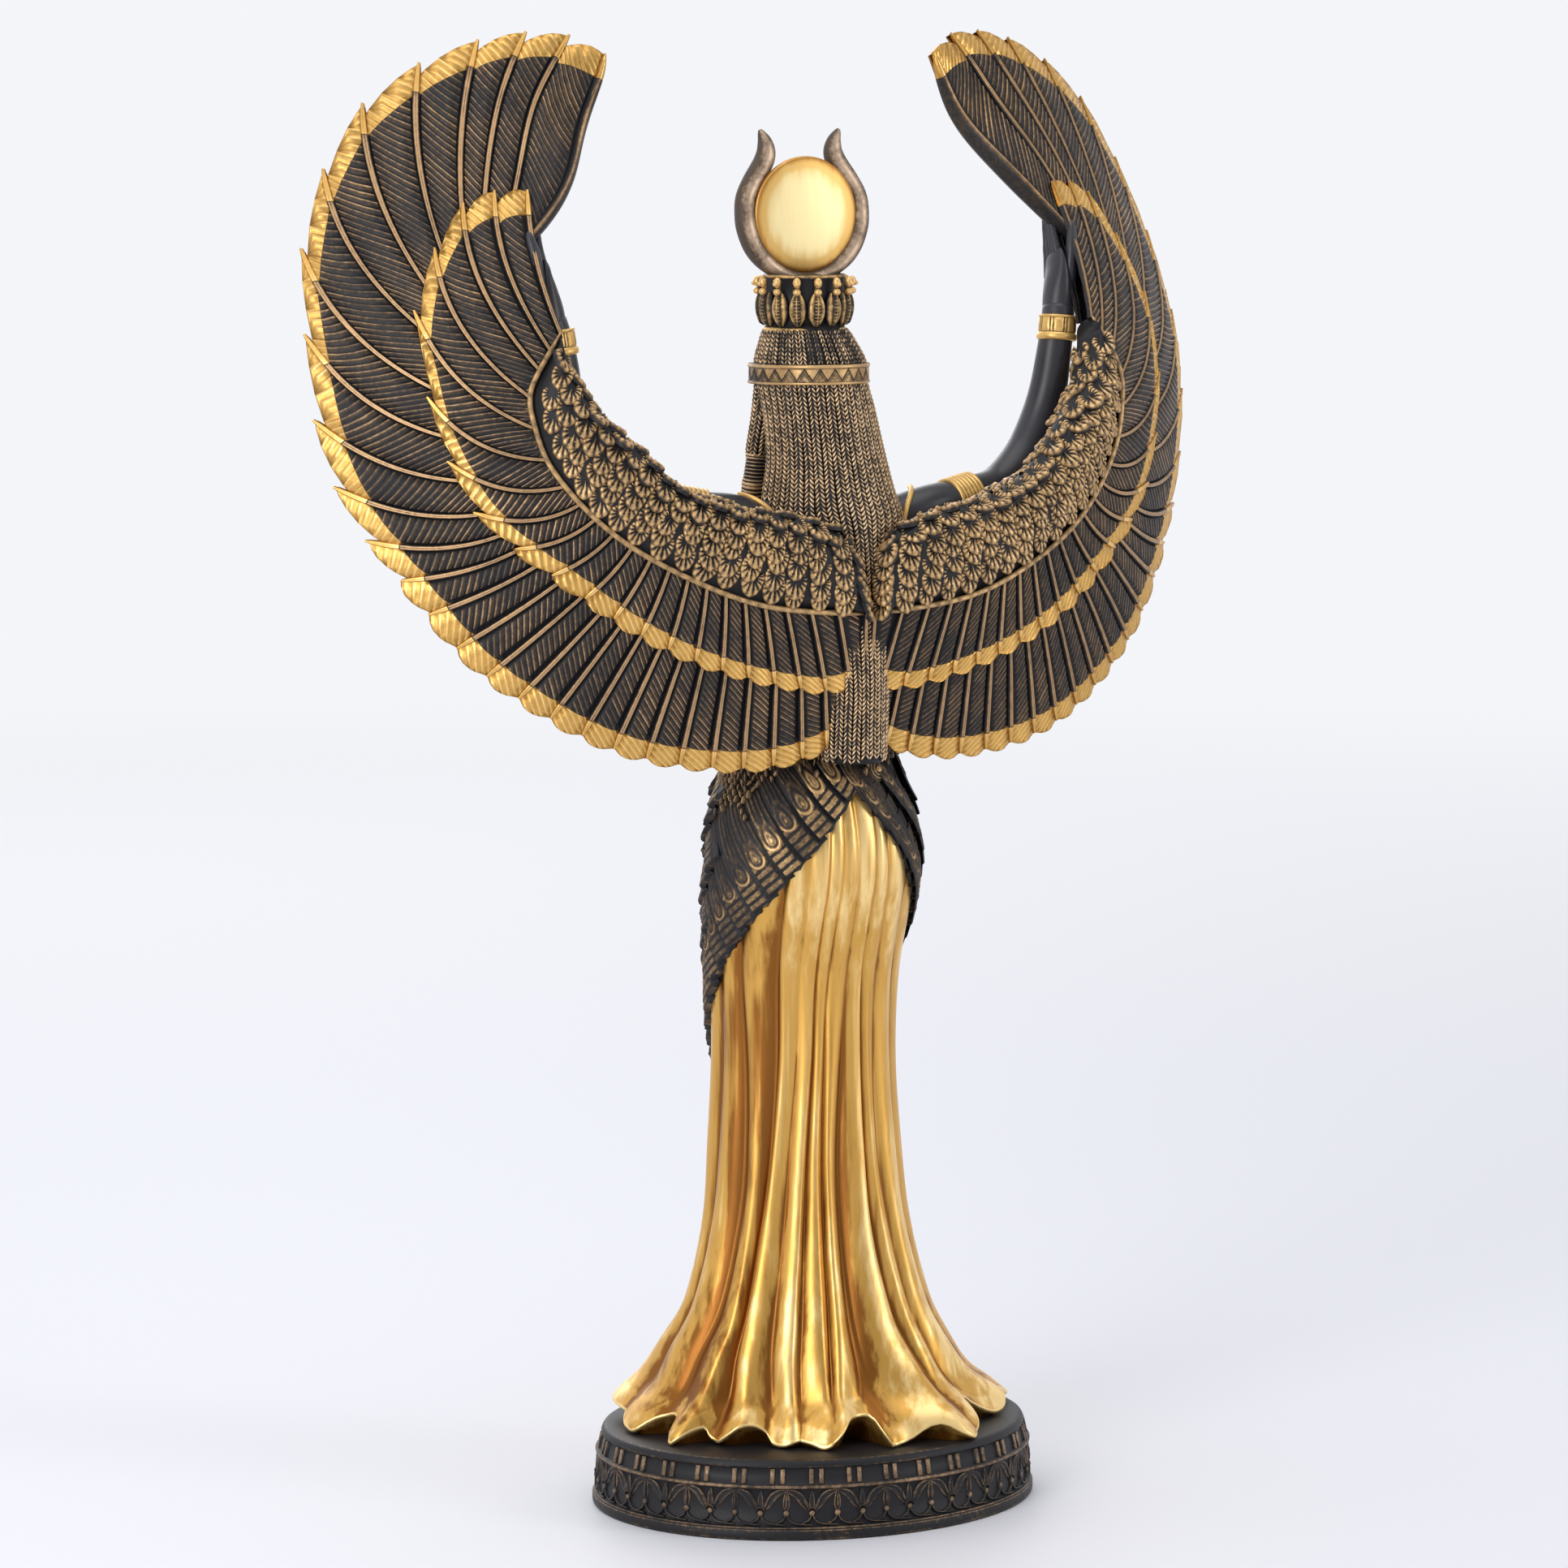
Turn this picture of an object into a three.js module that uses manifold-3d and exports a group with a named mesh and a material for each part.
// A winged Egyptian goddess statue on an oval plinth, with a horned sun disc on her crown.
// Millimetres, +Z up. She faces -Y, her left is +X, and the origin is the middle of the underside.
import * as THREE from 'three';
import { mergeVertices } from 'three/addons/utils/BufferGeometryUtils.js';
import Module from 'manifold-3d';

const wasm = await Module();
wasm.setup();

// Driving dimensions
const GAP = 0.3;
const PLINTH_HEIGHT = 33;
const PLINTH_HALF_WIDTH = 97;
const PLINTH_HALF_DEPTH = 83.5;
const HEM_HEIGHT = 36.5;
const FOOT_HEIGHT = PLINTH_HEIGHT + GAP;
const WRAP_APEX_HEIGHT = 305;
const WRAP_FRONT_HEIGHT = 141;
const WRAP_THICKNESS = 2.6;
const FOLD_COUNT = 22;
const FOLD_DEPTH_AT_HEM = 7;
const SHOULDER_HEIGHT = 425;
const HEAD_HALF_WIDTH = 20;
const CHIN_HEIGHT = 438;
const CROWN_HEIGHT = 499;
const HEAD_Y = -9;
const MODIUS_BASE = 492;
const MODIUS_TOP = 517;
const COBRA_COUNT = 14;
const DISC_RADIUS = 24.2;
const DISC_HEIGHT = 543.5;
const DISC_HALF_THICKNESS = 3.2;
const HORN_RADIUS = 4.6;
const WING_ROOT_Y = 52;
const WING_SWEEP = 83;
const WING_REACH = 203;
const OUTER_FEATHERS = 29;
const SCALE_THICKNESS = 7;
const EDGE_THICKNESS = 12.5;
const CUSHION_THICKNESS = 19;
const LEAD_BULGE = 10;

// Smooth reading between rows of [place, value, value...]
function smoothTable(rows) {
  const last = rows.length - 1;
  const slopeAt = (i, k) => {
    const before = rows[Math.max(i - 1, 0)];
    const after = rows[Math.min(i + 1, last)];
    return (after[k] - before[k]) / (after[0] - before[0]);
  };
  return (place) => {
    let i = 0;
    while (i < last - 1 && place > rows[i + 1][0]) i += 1;
    const span = rows[i + 1][0] - rows[i][0];
    const t = THREE.MathUtils.clamp((place - rows[i][0]) / span, 0, 1);
    const blend = t * t * (3 - 2 * t);
    const leave = t * (1 - t) * (1 - t) * span;
    const arrive = t * t * (t - 1) * span;
    return rows[i].slice(1).map((value, k) => (
      value + (rows[i + 1][k + 1] - value) * blend
      + leave * slopeAt(i, k + 1) + arrive * slopeAt(i + 1, k + 1)
    ));
  };
}

// Closed body through a list of rings with equal point counts; the ends are closed by fans
function loft(rings) {
  const count = rings[0].length;
  const positions = rings.flat().flatMap((point) => [point.x, point.y, point.z]);
  const middle = (ring) => ring.reduce((sum, p) => sum.add(p), new THREE.Vector3()).divideScalar(count);
  positions.push(...middle(rings[0]).toArray(), ...middle(rings[rings.length - 1]).toArray());
  const startHub = rings.length * count;
  const index = [];
  for (let row = 0; row < rings.length - 1; row += 1) {
    for (let i = 0; i < count; i += 1) {
      const a = row * count + i;
      const b = row * count + (i + 1) % count;
      index.push(a, b, b + count, a, b + count, a + count);
    }
  }
  for (let i = 0; i < count; i += 1) {
    const next = (i + 1) % count;
    const top = (rings.length - 1) * count;
    index.push(startHub, next, i, startHub + 1, top + i, top + next);
  }
  return indexedGeometry(positions, index);
}

function indexedGeometry(positions, index) {
  const geometry = new THREE.BufferGeometry();
  geometry.setAttribute('position', new THREE.Float32BufferAttribute(positions, 3));
  geometry.setIndex(index);
  return geometry;
}

// Solids for joining and cutting, turned inside out where the volume comes out negative
function solid(geometry) {
  const bare = geometry.clone();
  bare.deleteAttribute('normal');
  bare.deleteAttribute('uv');
  const merged = mergeVertices(bare, 1e-4);
  const vertProperties = new Float32Array(merged.attributes.position.array);
  const triVerts = new Uint32Array(merged.index.array);
  if (signedVolume(vertProperties, triVerts) < 0) {
    for (let i = 0; i < triVerts.length; i += 3) {
      [triVerts[i + 1], triVerts[i + 2]] = [triVerts[i + 2], triVerts[i + 1]];
    }
  }
  return new wasm.Manifold(new wasm.Mesh({ numProp: 3, vertProperties, triVerts }));
}

function signedVolume(vertices, triangles) {
  const corner = (i) => new THREE.Vector3().fromArray(vertices, triangles[i] * 3);
  let volume = 0;
  for (let i = 0; i < triangles.length; i += 3) {
    volume += corner(i).dot(corner(i + 1).cross(corner(i + 2))) / 6;
  }
  return volume;
}

const join = (solids) => solids.reduce((whole, piece) => whole.add(piece));
const mirrored = (piece) => piece.mirror([1, 0, 0]);

function geometryOf(manifold) {
  const mesh = manifold.getMesh();
  return indexedGeometry(Array.from(mesh.vertProperties), Array.from(mesh.triVerts));
}

// An upright ring: angle 0 is the middle of the back, and angles grow towards her left
function uprightRing(count, pointAt) {
  return Array.from({ length: count }, (_, i) => pointAt((i / count) * Math.PI * 2));
}

function ovalRing(count, halfWidth, halfDepth, y, z) {
  return uprightRing(count, (angle) => new THREE.Vector3(
    halfWidth * Math.sin(angle), y + halfDepth * Math.cos(angle), z,
  ));
}

// A limb along a path of [x, y, z, half width across, half width along the view depth]
function limb(stations, sides) {
  const centres = stations.map(([x, y, z]) => new THREE.Vector3(x, y, z));
  const rings = stations.map(([, , , wide, deep], i) => {
    const along = centres[Math.min(i + 1, centres.length - 1)].clone().sub(centres[Math.max(i - 1, 0)]);
    along.normalize();
    const depth = new THREE.Vector3(0, 1, 0).addScaledVector(along, -along.y).normalize();
    const across = depth.clone().cross(along);
    return Array.from({ length: sides }, (_, k) => {
      const angle = (k / sides) * Math.PI * 2;
      return centres[i].clone()
        .addScaledVector(across, wide * Math.cos(angle))
        .addScaledVector(depth, deep * Math.sin(angle));
    });
  });
  return solid(loft(rings));
}

// Plinth: [height, inset from the bottom oval], an oval drum with a bar band over a lotus band
const PLINTH_PROFILE = [
  [0, 0.8], [0.8, 0], [4.4, 0], [5.2, 0.9], [20.8, 1.6], [22, 1.2], [23.2, 2.6],
  [30.4, 4.4], [31.6, 4.6], [PLINTH_HEIGHT, 5.6],
];

function plinth() {
  const sides = 36;
  const rings = PLINTH_PROFILE.map(([z, inset]) => (
    ovalRing(sides, PLINTH_HALF_WIDTH - inset, PLINTH_HALF_DEPTH - inset, 0, z)
  ));
  return solid(loft(rings));
}

// Dress and body: [height, half width, half depth, y of the middle]
const bodyShape = smoothTable([
  [HEM_HEIGHT, 86, 68, -1], [44, 78, 65, -3], [52, 69, 59, -5], [66, 61, 53, -6], [84, 52, 45, -5],
  [119, 43.5, 38, -6], [154, 40.5, 36, -8], [189, 39, 35, -9], [224, 40.5, 35, -8],
  [252, 42.5, 37, -3], [266, 43, 38, 0], [280, 42.3, 38, 1], [293, 40, 36, 1],
  [307, 35.5, 33, -1], [319, 33.5, 28, -3], [335, 30, 21, -2], [360, 31, 21, -2], [385, 33, 25.5, -3],
  [400, 36, 24, 0], [412, 40, 19, 5], [420, 38, 14, 8], [SHOULDER_HEIGHT, 26, 10, 6],
]);

const foldTurns = (angle) => (angle / (Math.PI * 2)) * FOLD_COUNT;

// The hips' feathered wrap rises to a point at the spine and falls towards the front
function wrapEdgeHeight(angle) {
  const fromSpine = Math.abs(Math.PI - Math.abs(Math.PI - angle)) / Math.PI;
  return WRAP_APEX_HEIGHT + (WRAP_FRONT_HEIGHT - WRAP_APEX_HEIGHT) * fromSpine;
}

function bodyPoint(angle, z, proud) {
  const [halfWidth, halfDepth, y] = bodyShape(z);
  const x = Math.sin(angle) * (halfWidth + proud);
  return new THREE.Vector3(x, y + Math.cos(angle) * (halfDepth + proud), z);
}

function skirtFold(angle, z) {
  const wave = Math.cos(foldTurns(angle) * Math.PI * 2);
  const fall = THREE.MathUtils.clamp((wrapEdgeHeight(angle) - z) / 250, 0, 1);
  return wave * (0.4 + (FOLD_DEPTH_AT_HEM / 2) * fall * fall) - 1.2;
}

function dress() {
  const sides = FOLD_COUNT * 3;
  const skirtRows = [0, 0.06, 0.15, 0.3, 0.62, 1];
  const bodyRows = [0, 0.2, 0.38, 0.56, 0.74, 0.9, 1];
  const sole = [
    ovalRing(sides, 66, 50, -3, FOOT_HEIGHT),
    ovalRing(sides, 68, 52, -3, HEM_HEIGHT - 0.6),
  ];
  const skirt = skirtRows.map((share) => uprightRing(sides, (angle) => {
    const z = THREE.MathUtils.lerp(HEM_HEIGHT, wrapEdgeHeight(angle) - 0.5, share);
    return bodyPoint(angle, z, skirtFold(angle, z));
  }));
  const upper = bodyRows.map((share) => uprightRing(sides, (angle) => {
    const z = THREE.MathUtils.lerp(wrapEdgeHeight(angle), SHOULDER_HEIGHT, share);
    const thinning = THREE.MathUtils.clamp((320 - z) / 20, 0, 1);
    return bodyPoint(angle, z, (share === 0 ? WRAP_THICKNESS : WRAP_THICKNESS * 0.9) * thinning - 0.6);
  }));
  return solid(loft([...sole, ...skirt, ...upper]));
}

// Wig: [height, half width, half depth, y of the middle]; its tail lies down the back
const wigShape = smoothTable([
  [318, 13.5, 14, 33], [332, 15, 17, 30], [350, 17, 20, 27.5], [372, 23.5, 23.5, 23], [398, 30, 27.5, 17],
  [420, 31.5, 28.5, 13], [444, 26.5, 23, 9.5], [464, 24.2, 24, 2.5], [474, 23.2, 26.8, -3],
  [483, 22.8, 26, -3.5], [492, 19.6, 21.8, -6], [CROWN_HEIGHT, 15, 16, -8],
]);

function wig() {
  const heights = [318, 334, 356, 384, 420, 448, 473, 484, CROWN_HEIGHT];
  return solid(loft(heights.map((z) => {
    const [halfWidth, halfDepth, y] = wigShape(z);
    return ovalRing(22, halfWidth, halfDepth, y, z);
  })));
}

// Face and head: half width and front reach by share of the head's height, chin to crown
const headShape = smoothTable([
  [0, 7, 15], [0.08, 10.5, 20.5], [0.2, 14.5, 22], [0.34, 17, 22.5], [0.5, 18.6, 23.4],
  [0.66, HEAD_HALF_WIDTH - 0.6, 23.8], [0.82, HEAD_HALF_WIDTH, 22], [1, 15, 14],
]);

function head() {
  const rings = [0, 0.08, 0.22, 0.45, 0.7, 1].map((share) => {
    const [halfWidth, front] = headShape(share);
    const z = CHIN_HEIGHT + share * (CROWN_HEIGHT - CHIN_HEIGHT - 2);
    return uprightRing(16, (angle) => {
      const reach = Math.cos(angle) < 0 ? front : 16;
      return new THREE.Vector3(halfWidth * Math.sin(angle), HEAD_Y + reach * Math.cos(angle), z);
    });
  });
  const nose = limb([
    [0, HEAD_Y - 21.6, 471, 1.6, 1.6], [0, HEAD_Y - 25.4, 457.5, 3.2, 2.6], [0, HEAD_Y - 21.6, 454, 2.4, 1.6],
  ], 5);
  const neck = limb([
    [0, 2, 416, 13.5, 12.5], [0, -3, 427, 10, 10.4], [0, -8, 446, 10, 12],
  ], 10);
  return join([solid(loft(rings)), nose, neck]);
}

// A lock of the wig in front of the left shoulder, lying on the chest
function lappet() {
  return limb([
    [17, -14, 466, 4.6, 7], [18.5, -17, 446, 5.2, 5.5], [18.5, -22, 416, 6.6, 4.2],
    [18, -27.5, 388, 7.2, 4], [18, -27.6, 383, 6.8, 3.2],
  ], 8);
}

// Left arm, raised along the wing's inner edge, with its armband and bracelet as raised rings
function arm() {
  const bare = limb([
    [28, 12, 414, 10, 10], [47, 13.5, 420.5, 9.4, 9.6], [70, 8.6, 424.4, 8.3, 8.6],
    [87, 4.2, 428, 8, 8.2], [100, 0.4, 436, 9, 8.6], [112.4, -2.4, 456, 8.4, 8.4],
    [117.8, -1.2, 482, 7.5, 7.5], [121.6, -3.6, 502, 6.9, 6.9],
  ], 9);
  const armband = limb([
    [59.4, 11, 422, 9.7, 9.9], [60.4, 10.8, 422.4, 10.1, 10.3],
    [70.6, 8.5, 424.6, 9.8, 10], [71.6, 8.3, 424.8, 9.2, 9.4],
  ], 9);
  const bracelet = limb([
    [119.1, -0.9, 488, 8.2, 8.2], [119.2, -1, 488.8, 8.6, 8.6],
    [120.2, -1.7, 497.8, 8.2, 8.3], [120.3, -1.8, 498.6, 7.4, 7.5],
  ], 9);
  return join([bare, armband, bracelet, hand()]);
}

// Left hand: a palm facing her head, four fingers held together, the thumb apart towards the wing
function hand() {
  const palm = limb([
    [121.2, -3, 498, 6.8, 6.8], [122.6, -5.6, 511, 5.8, 7.5], [123.1, -7.9, 519, 3.4, 7.5],
    [123.1, -9, 523, 2.2, 6.8],
  ], 8);
  const fingerLengths = [32, 35.5, 34, 29];
  const fingers = fingerLengths.map((length, i) => {
    const start = new THREE.Vector3(123.2, -3.2 - i * 3.5, 514.5 + Math.sin(i + 0.6) * 0.8);
    const lean = new THREE.Vector3(0.02, -0.4 + i * 0.09, 0.95).normalize();
    const station = (share, radius) => {
      const point = start.clone().addScaledVector(lean, length * share);
      return [point.x - 0.9 * share * share, point.y, point.z, radius * 0.95, radius];
    };
    return limb([station(0, 2.4), station(0.8, 1.8), station(1, 0.8)], 5);
  });
  const thumb = limb([
    [124.4, -3.4, 504, 3.6, 3.6], [127, -3, 517, 3.1, 3.1], [128, -3.6, 528, 2.5, 2.5],
    [129.6, -6.6, 537, 1.5, 1.5], [129.7, -6.9, 538.6, 0.6, 0.6],
  ], 6);
  return join([palm, ...fingers, thumb]);
}

// Modius: a low crown whose wall is a ring of raised cobras
function modius() {
  const sides = COBRA_COUNT * 3;
  const profile = [
    [MODIUS_BASE, 17, 0], [MODIUS_BASE + 4, 17.8, 0.4], [MODIUS_BASE + 11, 19, 1.4],
    [MODIUS_BASE + 20, 20.8, 1.4], [MODIUS_TOP, 19.6, 0.4],
  ];
  return solid(loft(profile.map(([z, radius, depth]) => uprightRing(sides, (angle) => {
    const reach = radius + depth * Math.cos(angle * COBRA_COUNT);
    return new THREE.Vector3(reach * Math.sin(angle), HEAD_Y + 1 + reach * Math.cos(angle), z);
  }))));
}

// Sun disc held between two horns that rise from one foot on the modius
function hornedDisc(grow) {
  const y = HEAD_Y + 1;
  const profile = [
    [0, -DISC_HALF_THICKNESS], [DISC_RADIUS * 0.55, -DISC_HALF_THICKNESS * 0.72],
    [DISC_RADIUS * 0.93, -1.5], [DISC_RADIUS, -1], [DISC_RADIUS, 1], [DISC_RADIUS * 0.93, 1.5],
    [DISC_RADIUS * 0.55, DISC_HALF_THICKNESS * 0.72], [0, DISC_HALF_THICKNESS],
  ].map(([radius, height]) => (
    new THREE.Vector2(radius + (radius > 0 ? grow : 0), height + Math.sign(height) * grow)
  ));
  const disc = new THREE.LatheGeometry(profile, 28);
  disc.translate(0, y, DISC_HEIGHT);
  const foot = loft([
    ovalRing(16, 12.5 + grow, 7.5 + grow, y, MODIUS_TOP + GAP - grow * 2),
    ovalRing(16, 12 + grow, 7 + grow, y, MODIUS_TOP + 4),
  ]);
  // across, forward of the disc, height, half width across and along the depth; the tips lean forward
  const horn = limb([
    [-3, 0, 520.5, 4, 4], [10, 0.5, 521, 4.3, 4.2], [19, 1, 525, HORN_RADIUS, 4.4],
    [25.2, 1.8, 533, HORN_RADIUS, 4.4], [27.2, 2.3, 543.2, HORN_RADIUS, 4.4], [26.2, 3, 551, 4.3, 4.2],
    [21.4, 4, 560.5, 4.1, 3.9], [16.9, 4.8, 569, 3.9, 3.6], [17.2, 4.8, 574.3, 2.8, 2.7],
    [19, 4.8, 579, 0.8, 0.8],
  ].map(([x, forward, z, wide, deep]) => [x, y - forward, z, wide + grow, deep + grow]), 8);
  return join([solid(disc), solid(foot), horn, mirrored(horn)]);
}

// Wing: a bent sheet that leaves the spine at the back and sweeps forwards and up
const softStep = (value) => 0.5 * (value + Math.hypot(value, 25));

function sheetY(x, z) {
  const sweep = WING_SWEEP * (Math.abs(x) / WING_REACH) ** 2.6;
  const lead = LEAD_BULGE * Math.exp(-(((Math.abs(x) - 92) / 26) ** 2) - ((z - 583) / 22) ** 2);
  return WING_ROOT_Y - sweep - lead - 0.62 * softStep(z - 484) - 0.2 * softStep(392 - z);
}

function sheetPoint([x, z], proud) {
  const step = 0.5;
  const normal = new THREE.Vector3(
    sheetY(x - step, z) - sheetY(x + step, z), 2 * step, sheetY(x, z - step) - sheetY(x, z + step),
  ).normalize();
  return new THREE.Vector3(x, sheetY(x, z), z).addScaledVector(normal, proud);
}

// [x, z] of feather tips by number, counted from the leading tip to the spine
const outerTips = smoothTable([
  [1, 79, 610], [2, 92, 618], [4, 128, 616], [6, 174, 590], [8, 205, 531], [10, 210, 462],
  [13, 187, 399], [16, 156, 357], [20, 107, 326], [24, 52, 316], [27, 14, 323], [29, 3, 341],
]);
const innerTips = smoothTable([
  [1, 125, 554], [3, 149, 549], [5, 174, 506], [6, 174, 472], [8, 160, 426], [11, 123, 390],
  [14, 89, 368], [17, 54, 355], [20, 16, 348], [21, 4, 351],
]);
// [x, z] of the cord and of the arm-side edge by share of the way from the wrist to the spine
const cordLine = smoothTable([
  [0, 126, 498], [0.12, 139, 477], [0.17, 140, 466], [0.29, 133, 443], [0.45, 111, 417],
  [0.62, 80, 398], [0.79, 47, 386], [1, 2, 381],
]);
const armEdge = smoothTable([
  [0, 126, 489], [0.13, 117, 468], [0.25, 103, 453], [0.39, 84, 435], [0.54, 59, 426],
  [0.69, 33, 421], [0.82, 13, 412], [0.93, 4, 393], [1, 2, 382],
]);
// Where an outer feather leaves from under the inner row, and where both leave the cord
const innerPlace = smoothTable([
  [1, 1], [3, 3], [5, 4.1], [7, 5.1], [9, 6.5], [11, 8], [14, 9.6], [22, 15.4], [26, 19.2], [29, 21],
]);
const cordShare = smoothTable([
  [1, 0], [3, 0.12], [5, 0.27], [7, 0.37], [9, 0.44], [14, 0.62], [18, 0.785], [20, 0.886], [21, 1],
]);

// How far a feather tip's edge falls back from the tip line, by place between two tips
function tipDrop(place, number) {
  const offset = Math.abs(place - Math.round(place)) * 2;
  const pointed = THREE.MathUtils.clamp((13 - number) / 4, 0, 1);
  return THREE.MathUtils.lerp(5 * offset ** 2.5, 9 * offset, pointed);
}

// One cut through the wing from feather tip to arm edge: its back face, then its front face
function wingColumn(place) {
  const toVector = ([x, z]) => new THREE.Vector2(x, z);
  const inner = innerPlace(place)[0];
  const share = cordShare(inner)[0];
  const tip = toVector(outerTips(place));
  const innerTip = toVector(innerTips(inner));
  const cord = toVector(cordLine(share));
  const edge = toVector(armEdge(share));
  tip.addScaledVector(tip.clone().sub(innerTip).normalize(), -tipDrop(place, place));
  innerTip.addScaledVector(innerTip.clone().sub(cord).normalize(), -tipDrop(inner, inner) * 0.5);
  const at = (flat, proud) => sheetPoint(flat.toArray(), proud);
  const under = innerTip.clone().lerp(cord, 0.03);
  const cushion = cord.clone().lerp(edge, 0.12);
  const middle = cord.clone().lerp(edge, 0.6);
  const rollShare = Math.min(1, share * 5, (0.75 - share) * 4);
  const rolled = (thickness) => THREE.MathUtils.lerp(SCALE_THICKNESS, thickness, Math.max(0, rollShare));
  return {
    back: [at(tip, -0.4), at(innerTip, -0.2), at(under, 1.6), at(cord, 1.2), at(cushion, 3), at(edge, 1)],
    front: [
      at(edge, -rolled(EDGE_THICKNESS)), at(middle, -rolled(CUSHION_THICKNESS)),
      at(innerTip, -5), at(tip, -3.6),
    ],
  };
}

function wing() {
  const places = [1];
  for (let number = 2; number <= OUTER_FEATHERS; number += 1) {
    const offsets = number < 11 ? [-0.5, 0] : [-0.5, -0.2, 0.2];
    offsets.forEach((offset) => places.push(number + offset));
  }
  places[places.length - 1] = OUTER_FEATHERS;
  return solid(slab(places.map(wingColumn)));
}

// The room that the wing takes out of the figure, simpler and a little larger than the wing
function wingRoom() {
  const places = [1, 2, 3, 4, 5, 7, 9, 13, 16, 19, 22, 25, 27, 28, OUTER_FEATHERS];
  const backwards = new THREE.Vector3(0, 40, 0);
  const forwards = new THREE.Vector3(0, -GAP - 1.2, 0);
  const columns = places.map((place) => {
    const { back, front } = wingColumn(place);
    const sideways = place < OUTER_FEATHERS ? 0 : -2.5;
    const spread = (point, up) => point.clone().add(new THREE.Vector3(sideways, 0, up));
    return {
      back: [spread(back[0], -1.5).add(backwards), spread(back[5], 3).add(backwards)],
      front: front.map((point, i) => spread(point, [3, 0, 0, -1.5][i]).add(forwards)),
    };
  });
  return solid(slab(columns));
}

// Closed slab through columns that each hold a back chain and a front chain of points
function slab(columns) {
  const rings = columns.map(({ back, front }) => [...back, ...front]);
  const count = rings[0].length;
  const turn = columns[0].back.length;
  const index = [];
  for (let row = 0; row < rings.length - 1; row += 1) {
    for (let i = 0; i < count; i += 1) {
      const a = row * count + i;
      const b = row * count + (i + 1) % count;
      index.push(a, b, b + count, a, b + count, a + count);
    }
  }
  const closeEnd = (base, flipped) => {
    let a = 0;
    let b = count - 1;
    while (a < turn - 1 || b > turn) {
      const along = a / (turn - 1) <= (count - 1 - b) / (count - 1 - turn) && a < turn - 1;
      const third = along ? a + 1 : b - 1;
      index.push(...(flipped ? [base + a, base + third, base + b] : [base + a, base + b, base + third]));
      if (along) a += 1;
      else b -= 1;
    }
  };
  closeEnd(0, false);
  closeEnd((rings.length - 1) * count, true);
  return indexedGeometry(rings.flat().flatMap((point) => point.toArray()), index);
}

// The wing moved towards her head and then forwards, which keeps the hand clear of its edge
function wingClearance() {
  const beside = wing().translate([-2 * GAP, 0, 0]);
  return join([beside, beside.translate([0, -2 * GAP, 0])]);
}

function figure() {
  const half = [arm(), lappet()];
  const whole = join([dress(), wig(), head(), modius(), ...half, ...half.map(mirrored)]);
  const halfRoom = [wingRoom(), wingClearance()];
  const room = [...halfRoom, ...halfRoom.map(mirrored), hornedDisc(GAP)];
  return room.reduce((rest, taken) => rest.subtract(taken), whole);
}

const MATERIALS = {
  dark: { color: 0x24211f, roughness: 0.5, metalness: 0.2 },
  gold: { color: 0xd7a23c, roughness: 0.4, metalness: 0.55 },
  bronze: { color: 0x8f6a3e, roughness: 0.45, metalness: 0.5 },
};

const statue = new THREE.Group();

function addPiece(name, manifold, look) {
  const mesh = new THREE.Mesh(geometryOf(manifold), new THREE.MeshStandardMaterial(MATERIALS[look]));
  mesh.name = name;
  statue.add(mesh);
}

addPiece('plinth', plinth(), 'dark');
addPiece('figure', figure(), 'gold');
addPiece('left_wing', wing(), 'dark');
addPiece('right_wing', mirrored(wing()), 'dark');
addPiece('horned_disc', hornedDisc(0), 'bronze');

export default statue;
